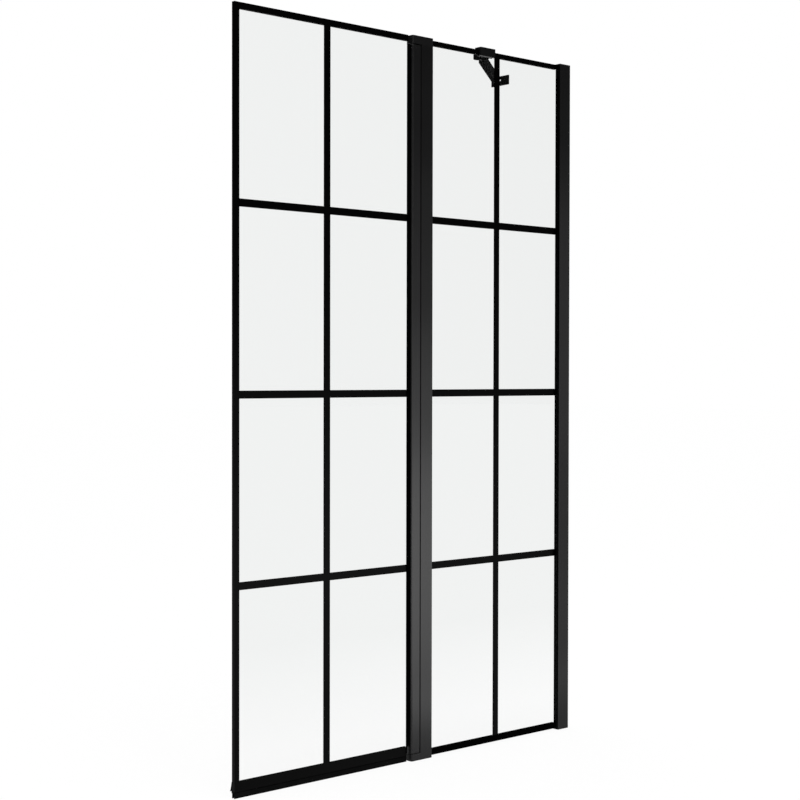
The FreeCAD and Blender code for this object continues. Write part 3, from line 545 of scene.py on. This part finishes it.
class Bench:
    """The hand tools that shape one piece from a primitive."""

    flat_normal: float = 0.9
    smooth_angle: float = math.radians(32.0)
    socket_sides: int = 6
    socket_point_share: float = 0.35
    socket_tip_share: float = 0.3

    def __init__(self, name: str, sides: int, radius: float, depth: float, centre: Vector) -> None:
        """Adds an upright cylinder at its size and place.

        Args:
            name: The piece's name.
            sides: How many sides stand for the round.
            radius: The cylinder's radius in metres.
            depth: Its height in metres.
            centre: The middle of the cylinder.
        """
        bpy.ops.object.select_all(action="DESELECT")
        bpy.ops.mesh.primitive_cylinder_add(vertices=sides, radius=radius, depth=depth, location=centre)
        self.piece = bpy.context.object
        self.piece.name = name
        bpy.ops.object.transform_apply(location=True, rotation=True, scale=True)

    def choose(self) -> None:
        """Makes the piece the active object and the only selected one."""
        bpy.ops.object.select_all(action="DESELECT")
        bpy.context.view_layer.objects.active = self.piece
        self.piece.select_set(True)

    def edit(self, chosen: Callable[[bmesh.types.BMFace], bool]) -> None:
        """Goes into edit mode with only the chosen faces selected.

        Args:
            chosen: Says whether a face is selected.
        """
        bpy.ops.object.mode_set(mode="EDIT")
        bpy.ops.mesh.select_mode(type="FACE")
        bpy.ops.mesh.select_all(action="DESELECT")
        mesh = bmesh.from_edit_mesh(self.piece.data)
        for face in mesh.faces:
            face.select_set(chosen(face))
        bmesh.update_edit_mesh(self.piece.data)

    def edit_end(self, height: float) -> None:
        """Goes into edit mode with the flat end face at a height selected.

        Args:
            height: The end face's height in metres.
        """

        def at_end(face: bmesh.types.BMFace) -> bool:
            """Says whether a face lies flat at the height."""
            flat = abs(face.normal.z) > self.flat_normal
            return flat and abs(face.calc_center_median().z - height) < HEIGHT_TOLERANCE

        self.edit(at_end)

    def leave(self) -> None:
        """Goes back to object mode."""
        bpy.ops.object.mode_set(mode="OBJECT")

    def flare(self, height: float, rise: float, factor: float, centre: Vector) -> None:
        """Draws an end face out and widens or narrows it.

        Args:
            height: The end face's height before.
            rise: How far it goes along Z.
            factor: How much wider it gets.
            centre: A point on the axis that it widens about.
        """
        self.edit_end(height)
        bpy.ops.mesh.extrude_region_move(TRANSFORM_OT_translate={"value": (0.0, 0.0, rise)})
        bpy.ops.transform.resize(value=(factor, factor, 1.0), center_override=centre)
        self.leave()

    def soften_end(self, height: float, width: float, segments: int = 1) -> None:
        """Chamfers or rounds the rim of an end face.

        Args:
            height: The end face's height.
            width: The width that it takes off in metres.
            segments: How many faces make the rounding, one for a chamfer.
        """
        self.edit_end(height)
        bpy.ops.mesh.bevel(offset=width, offset_type="OFFSET", segments=segments, affect="EDGES")
        self.leave()

    def take_out(self, tool: bpy.types.Object) -> None:
        """Cuts a tool's shape out of the piece and throws the tool away.

        Args:
            tool: A closed mesh that reaches into the piece.
        """
        cutter = self.piece.modifiers.new("cut", "BOOLEAN")
        cutter.operation = "DIFFERENCE"
        cutter.solver = "EXACT"
        cutter.object = tool
        self.choose()
        bpy.ops.object.modifier_apply(modifier=cutter.name)
        bpy.data.objects.remove(tool, do_unlink=True)

    def sink_hexagon(self, height: float, inward: float, centre: Vector, radius: float, deep: float) -> None:
        """Sinks a hexagon socket with a blunt point in an end face.

        Args:
            height: The end face's height.
            inward: 1 where the piece lies above that face, -1 where it lies below.
            centre: A point on the socket's axis.
            radius: The hexagon's radius to its corners.
            deep: The socket's depth.
        """
        middle = Vector((centre.x, centre.y, height))
        key = Bench("hexagon_key", self.socket_sides, radius, deep * 2.0, middle)
        point = inward * radius * self.socket_point_share
        key.flare(height + inward * deep, point, self.socket_tip_share, middle)
        self.take_out(key.piece)

    def smooth(self) -> None:
        """Smooths the round faces and keeps the edges."""
        self.choose()
        bpy.ops.object.shade_smooth_by_angle(angle=self.smooth_angle)

    def copy_to(self, shift: Vector, turn: float = 0.0) -> bpy.types.Object:
        """Copies the piece with a mesh of its own, turns it about X at the origin and moves it.

        Args:
            shift: How far the copy moves after its turn.
            turn: The turn in radians.

        Returns:
            The copy, with its place in its mesh.
        """
        copy = self.piece.copy()
        copy.data = self.piece.data.copy()
        bpy.context.scene.collection.objects.link(copy)
        copy.data.transform(Matrix.Translation(shift) @ Matrix.Rotation(turn, 4, "X"))
        return copy

    def throw_away(self) -> None:
        """Removes the piece once its copies are made."""
        bpy.data.objects.remove(self.piece, do_unlink=True)


def join_pieces(name: str, pieces: list[bpy.types.Object]) -> bpy.types.Object:
    """Joins copies into one object.

    Args:
        name: The object's name.
        pieces: The copies.

    Returns:
        The joined object.
    """
    bpy.ops.object.select_all(action="DESELECT")
    for piece in pieces:
        piece.select_set(True)
    bpy.context.view_layer.objects.active = pieces[0]
    bpy.ops.object.join()
    pieces[0].name = name
    return pieces[0]


class Fixing(ABC):
    """Small fixings that stand for one CAD node."""

    node: str
    body: Body
    slot: Slot
    finish: Finish

    @abstractmethod
    def model(self, low: Vector, high: Vector) -> bpy.types.Object:
        """Models the fixings inside their CAD node's box.

        Args:
            low: The node's lowest corner.
            high: The node's highest corner.

        Returns:
            The finished object.
        """

    def build(self) -> None:
        """Models the fixings, dresses them and puts them in the CAD node's place."""
        low, high = (Vector(corner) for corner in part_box(self.node))
        piece = self.model(low, high)
        piece.data.materials.clear()
        self.finish.dress(piece)
        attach(piece, self.body.value)
        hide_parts(self.node)
        log.info("%s: %s", piece.name, self.finish.name)


@dataclass
class CapScrews(Fixing):
    """Countersunk socket screws that hold the pivot caps on the post, two above and two below."""

    node: str = "cap_screws"
    body: Body = Body.FIXED_PANEL
    slot: Slot = Slot.STEEL
    finish: Finish = BLACK_STEEL
    sides: int = 40
    length: float = 32.0 * MM
    shank_radius: float = 1.9 * MM
    head_radius: float = 3.75 * MM
    head_height: float = 2.0 * MM
    rim: float = 0.18 * MM
    socket_radius: float = 1.45 * MM
    socket_depth: float = 1.3 * MM
    point_height: float = 1.6 * MM
    point_share: float = 0.55

    def model(self, low: Vector, high: Vector) -> bpy.types.Object:
        """Models one screw upright at the origin, head up, and copies it to the four places.

        Args:
            low: The node's lowest corner.
            high: The node's highest corner.

        Returns:
            The four screws as one object.
        """
        straight = self.length - self.head_height - self.point_height
        neck = -self.head_height
        tip = neck - straight
        middle = Vector((0.0, 0.0, (neck + tip) / 2.0))
        bench = Bench("cap_screw", self.sides, self.shank_radius, straight, middle)
        bench.flare(neck, self.head_height - self.rim, self.head_radius / self.shank_radius, ORIGIN)
        bench.flare(-self.rim, self.rim, 1.0 - self.rim / self.head_radius, ORIGIN)
        bench.flare(tip, -self.point_height, self.point_share, ORIGIN)
        bench.sink_hexagon(0.0, -1.0, ORIGIN, self.socket_radius, self.socket_depth)
        bench.smooth()
        x = (low.x + high.x) / 2.0
        copies = []
        for y in (low.y + self.head_radius, high.y - self.head_radius):
            copies.append(bench.copy_to(Vector((x, y, high.z))))
            copies.append(bench.copy_to(Vector((x, y, low.z)), HALF_TURN))
        bench.throw_away()
        return join_pieces("pivot_cap_screws", copies)


@dataclass
class SwivelPin(Fixing):
    """A headed pin of a stabiliser swivel: a rounded head below with a socket, and a chamfered top end."""

    node: str
    body: Body
    slot: Slot = Slot.STEEL
    finish: Finish = BLACK_STEEL
    sides: int = 48
    shank_radius: float = 3.0 * MM
    head_radius: float = 5.0 * MM
    head_height: float = 2.0 * MM
    head_round: float = 0.7 * MM
    head_segments: int = 4
    end_chamfer: float = 0.4 * MM
    socket_radius: float = 2.3 * MM
    socket_depth: float = 1.5 * MM

    def model(self, low: Vector, high: Vector) -> bpy.types.Object:
        """Models the pin where it stands, from its shank.

        Args:
            low: The node's lowest corner.
            high: The node's highest corner.

        Returns:
            The finished pin.
        """
        axis = Vector(((low.x + high.x) / 2.0, (low.y + high.y) / 2.0, 0.0))
        neck = low.z + self.head_height
        middle = Vector((axis.x, axis.y, (neck + high.z) / 2.0))
        bench = Bench(f"{self.node}_dressed", self.sides, self.shank_radius, high.z - neck, middle)
        bench.soften_end(high.z, self.end_chamfer)
        bench.flare(neck, 0.0, self.head_radius / self.shank_radius, axis)
        bench.flare(neck, -self.head_height, 1.0, axis)
        bench.soften_end(low.z, self.head_round, self.head_segments)
        bench.sink_hexagon(low.z, 1.0, axis, self.socket_radius, self.socket_depth)
        bench.smooth()
        return bench.piece


@dataclass
class GrubScrews(Fixing):
    """Socket grub screws in the clamp's wet leg that press the liner on the rail."""

    node: str = "clamp_grub_screws"
    body: Body = Body.FIXED_PANEL
    slot: Slot = Slot.STEEL
    finish: Finish = BLACK_STEEL
    sides: int = 36
    radius: float = 2.5 * MM
    end_chamfer: float = 0.35 * MM
    socket_radius: float = 1.45 * MM
    socket_depth: float = 2.0 * MM

    def model(self, low: Vector, high: Vector) -> bpy.types.Object:
        """Models one grub screw upright at the origin, socket up, and lays its copies along Y.

        Args:
            low: The node's lowest corner.
            high: The node's highest corner.

        Returns:
            The two screws as one object.
        """
        length = high.y - low.y
        bench = Bench("grub_screw", self.sides, self.radius, length, Vector((0.0, 0.0, -length / 2.0)))
        bench.soften_end(0.0, self.end_chamfer)
        bench.soften_end(-length, self.end_chamfer)
        bench.sink_hexagon(0.0, -1.0, ORIGIN, self.socket_radius, self.socket_depth)
        bench.smooth()
        z = (low.z + high.z) / 2.0
        copies = []
        for x in (low.x + self.radius, high.x - self.radius):
            copies.append(bench.copy_to(Vector((x, high.y, z)), -QUARTER_TURN))
        bench.throw_away()
        return join_pieces("clamp_socket_screws", copies)


@dataclass
class LockCovers(Fixing):
    """Snap covers over the screws that lock the width, each rounded and with a notch to pry it off."""

    node: str = "lock_covers"
    body: Body = Body.WALL_SIDE
    slot: Slot = Slot.PLASTIC
    finish: Finish = BLACK_PLASTIC
    count: int = 3
    sides: int = 56
    edge_round: float = 0.7 * MM
    edge_segments: int = 5
    dish: float = 0.25 * MM
    notch_sides: int = 20
    notch_radius: float = 0.9 * MM
    notch_depth: float = 0.7 * MM

    def model(self, low: Vector, high: Vector) -> bpy.types.Object:
        """Models one cover at the origin, face up, and copies it up the channel.

        Args:
            low: The node's lowest corner.
            high: The node's highest corner.

        Returns:
            The covers as one object.
        """
        height = high.y - low.y
        radius = (high.x - low.x) / 2.0
        bench = Bench("lock_cover", self.sides, radius, height, Vector((0.0, 0.0, height / 2.0)))
        bench.soften_end(height, self.edge_round, self.edge_segments)
        bench.edit_end(height)
        bpy.ops.mesh.inset(thickness=self.edge_round)
        bpy.ops.mesh.inset(thickness=self.dish)
        bpy.ops.transform.translate(value=(0.0, 0.0, -self.dish))
        bench.leave()
        notch_place = Vector((0.0, radius, self.notch_depth / 2.0))
        notch = Bench("pry_notch", self.notch_sides, self.notch_radius, self.notch_depth, notch_place)
        bench.take_out(notch.piece)
        bench.smooth()
        x = (low.x + high.x) / 2.0
        step = (high.z - low.z - radius * 2.0) / (self.count - 1)
        copies = []
        for number in range(self.count):
            place = Vector((x, low.y, low.z + radius + step * number))
            copies.append(bench.copy_to(place, -QUARTER_TURN))
        bench.throw_away()
        return join_pieces("lock_screw_covers", copies)


@dataclass(frozen=True)
class SoftLamp:
    """A rectangular soft lamp that faces a point, and shows neither to the camera nor through glass."""

    name: str
    place: Point
    target: Point
    width: float
    height: float
    power: float

    def hang(self) -> bpy.types.Object:
        """Makes the lamp.

        Returns:
            The lamp's object.
        """
        data = bpy.data.lights.new(self.name, "AREA")
        data.shape = "RECTANGLE"
        data.size = self.width
        data.size_y = self.height
        data.energy = self.power
        lamp = bpy.data.objects.new(self.name, data)
        aim = Vector(self.target) - Vector(self.place)
        turn = aim.to_track_quat("-Z", "Y").to_matrix()
        lamp.matrix_world = Matrix.Translation(self.place) @ turn.to_4x4()
        lamp.visible_camera = False
        lamp.visible_transmission = False
        bpy.context.scene.collection.objects.link(lamp)
        return lamp


PANEL_HEIGHTS = (0.03, 0.11, 0.3, 0.6, 0.9, 1.3, 1.8)
FOOT_HEIGHTS = (0.02, 0.1)


@dataclass(frozen=True)
class LampPanel:
    """An upright panel of soft lamps, one above another, that some coated pieces alone mirror.

    Its depth is its place along Y, and each glow is a lamp's brightness, from the lowest up.
    """

    name: str
    left: float
    right: float
    depth: float
    glows: tuple[float, ...]
    finishes: tuple[Finish, ...]
    heights: tuple[float, ...] = PANEL_HEIGHTS

    def hang(self) -> None:
        """Hangs the panel's lamps from the lowest up, each with its own glow."""
        coated = bpy.data.collections.new(f"{self.name}_pieces")
        for finish in self.finishes:
            for node in NODE_FINISHES[finish]:
                coated.objects.link(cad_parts[node])
        width = self.right - self.left
        middle = (self.left + self.right) / 2.0
        steps = zip(pairwise(self.heights), self.glows, strict=True)
        for number, ((low, high), glow) in enumerate(steps):
            level = (low + high) / 2.0
            place = (middle, self.depth, level)
            target = (middle, 0.0, level)
            power = glow * math.pi * width * (high - low)
            lamp = SoftLamp(f"{self.name}_{number}", place, target, width, high - low, power)
            lamp.hang().light_linking.receiver_collection = coated


SCREEN_MIDDLE: Point = (-0.5, 0.0, 0.8)
LAMPS = (
    SoftLamp(
        "overhead_lamp", place=(-1.2, -1.5, 4.0), target=SCREEN_MIDDLE, width=3.0, height=3.0, power=25.0
    ),
    SoftLamp(
        "front_lamp", place=(-1.5, -3.2, 1.2), target=SCREEN_MIDDLE, width=0.5, height=2.2, power=20.0
    ),
)
COATS = (PROFILE_COAT, PIVOT_COAT, BLACK_PLASTIC)
PANELS = (
    LampPanel(
        "front_panel", left=-1.4, right=0.2, depth=-0.5,
        glows=(5.2, 5.0, 5.5, 2.0, 0.5, 0.08), finishes=COATS,
    ),
    LampPanel(
        "corner_panel", left=-3.2, right=-0.45, depth=-0.5,
        glows=(16.0, 2.2, 1.0, 2.6, 2.8, 2.2), finishes=(PIVOT_COAT,),
    ),
    LampPanel(
        "wall_panel", left=0.2, right=0.9, depth=-0.5,
        glows=(0.85, 0.3, 0.05, 0.75, 0.9, 0.15), finishes=COATS,
    ),
    LampPanel(
        "back_panel", left=-0.6, right=1.4, depth=0.6,
        glows=(1.0, 1.0, 1.0, 1.0, 0.8, 0.5), finishes=COATS,
    ),
    LampPanel(
        "foot_panel", left=-0.42, right=-0.13, depth=-0.2,
        glows=(2.5,), finishes=(PROFILE_COAT, PIVOT_COAT), heights=FOOT_HEIGHTS,
    ),
    LampPanel(
        "wall_foot_panel", left=0.03, right=0.33, depth=-0.2,
        glows=(0.9,), finishes=COATS, heights=FOOT_HEIGHTS,
    ),
    LampPanel(
        "bar_panel", left=-1.4, right=0.15, depth=-0.5,
        glows=(0.4, 0.6, 0.9, 0.35, 0.02, 0.01), finishes=(BAR_COAT,),
    ),
)


def seen_directly(tree: bpy.types.NodeTree) -> bpy.types.NodeSocket:
    """Gives 1 for rays from the eye, a mirror or glass, and 0 for light that scatters.

    Args:
        tree: The node tree of a material.

    Returns:
        The output that holds the value.
    """
    path = tree.nodes.new("ShaderNodeLightPath")
    seen = path.outputs["Is Camera Ray"]
    for name in ("Is Glossy Ray", "Is Transmission Ray"):
        either = tree.nodes.new("ShaderNodeMath")
        either.operation = "MAXIMUM"
        tree.links.new(seen, either.inputs[0])
        tree.links.new(path.outputs[name], either.inputs[1])
        seen = either.outputs["Value"]
    return seen


@dataclass
class Studio:
    """A plain pale floor, soft lamps, a white surround and the camera of the product view.

    The camera's angles are in degrees, and its lens and sensor in millimetres.
    """

    eye: Point = (-2.6708, -2.4175, 0.7986)
    heading: float = 41.882
    pitch: float = -0.876
    roll: float = 0.097
    lens: float = 70.98
    sensor: float = 36.0
    floor_size: float = 60.0
    floor_drop: float = 0.5 * MM
    floor_tone: Colour = (0.97, 0.97, 0.97)
    floor_glow_share: float = 0.92
    mirrored_share: float = 0.05

    def build(self) -> None:
        """Builds the whole studio."""
        self.build_camera()
        self.build_floor()
        self.build_surround()
        self.build_lamps()
        bpy.context.scene.view_settings.view_transform = "Standard"

    def build_camera(self) -> None:
        """Places the camera and makes it the scene's."""
        heading, pitch, roll = (math.radians(angle) for angle in (self.heading, self.pitch, self.roll))
        ahead = Vector(
            (math.sin(heading) * math.cos(pitch), math.cos(heading) * math.cos(pitch), math.sin(pitch))
        )
        level = Vector((math.cos(heading), -math.sin(heading), 0.0))
        upright = level.cross(ahead)
        right = math.cos(roll) * level + math.sin(roll) * upright
        top = -math.sin(roll) * level + math.cos(roll) * upright
        turn = Matrix((right, top, -ahead)).transposed()
        data = bpy.data.cameras.new("product_camera")
        data.lens = self.lens
        data.sensor_width = self.sensor
        camera = bpy.data.objects.new("product_camera", data)
        camera.matrix_world = Matrix.Translation(self.eye) @ turn.to_4x4()
        bpy.context.scene.collection.objects.link(camera)
        bpy.context.scene.camera = camera

    def build_floor(self) -> None:
        """Makes the pale floor, which is white to the eye and keeps the object's shadow."""
        bpy.ops.object.select_all(action="DESELECT")
        bpy.ops.mesh.primitive_plane_add(size=self.floor_size, location=(0.0, 0.0, -self.floor_drop))
        floor = bpy.context.object
        floor.name = "floor"
        bpy.ops.object.transform_apply(location=True, rotation=True, scale=True)
        floor.data.materials.append(self.floor_material())

    def floor_material(self) -> bpy.types.Material:
        """Makes the floor's material, which mostly glows to the eye and only scatters other light.

        Returns:
            The new material.
        """
        material = bpy.data.materials.new("pale_floor")
        material.use_nodes = True
        tree = material.node_tree
        tree.nodes.clear()
        output = tree.nodes.new("ShaderNodeOutputMaterial")
        matt = tree.nodes.new("ShaderNodeBsdfDiffuse")
        matt.inputs["Color"].default_value = (*self.floor_tone, 1.0)
        glow = tree.nodes.new("ShaderNodeEmission")
        share = tree.nodes.new("ShaderNodeMath")
        share.operation = "MULTIPLY"
        share.inputs[1].default_value = self.floor_glow_share
        mix = tree.nodes.new("ShaderNodeMixShader")
        tree.links.new(seen_directly(tree), share.inputs[0])
        tree.links.new(share.outputs["Value"], mix.inputs["Fac"])
        tree.links.new(matt.outputs["BSDF"], mix.inputs[1])
        tree.links.new(glow.outputs["Emission"], mix.inputs[2])
        tree.links.new(mix.outputs["Shader"], output.inputs["Surface"])
        return material

    def build_surround(self) -> None:
        """Makes a plain white world, dimmer where a shiny surface mirrors it but not through the glass."""
        world = bpy.data.worlds.new("white_surround")
        world.use_nodes = True
        tree = world.node_tree
        back = tree.nodes["Background"]
        back.inputs["Color"].default_value = (*WHITE, 1.0)
        path = tree.nodes.new("ShaderNodeLightPath")
        dimmed = tree.nodes.new("ShaderNodeMapRange")
        dimmed.inputs["To Min"].default_value = 1.0
        dimmed.inputs["To Max"].default_value = self.mirrored_share
        tree.links.new(path.outputs["Glossy Depth"], dimmed.inputs["Value"])
        tree.links.new(dimmed.outputs["Result"], back.inputs["Strength"])
        bpy.context.scene.world = world

    def build_lamps(self) -> None:
        """Hangs the soft lamps and the panels."""
        for lamp in LAMPS:
            lamp.hang()
            log.info("lamp %s", lamp.name)
        for panel in PANELS:
            panel.hang()
            log.info("panel %s", panel.name)


def main() -> None:
    """Builds the finishes, the fixings and the studio."""
    logging.basicConfig(level=logging.INFO, format="%(name)s: %(message)s")
    PackedFrame().dress()
    for fixing in (
        CapScrews(),
        SwivelPin("clamp_swivel_pin", Body.FIXED_PANEL),
        SwivelPin("bracket_swivel_pin", Body.BRACKET),
        GrubScrews(),
        LockCovers(),
    ):
        fixing.build()
    Studio().build()


if __name__ == "__main__":
    main()
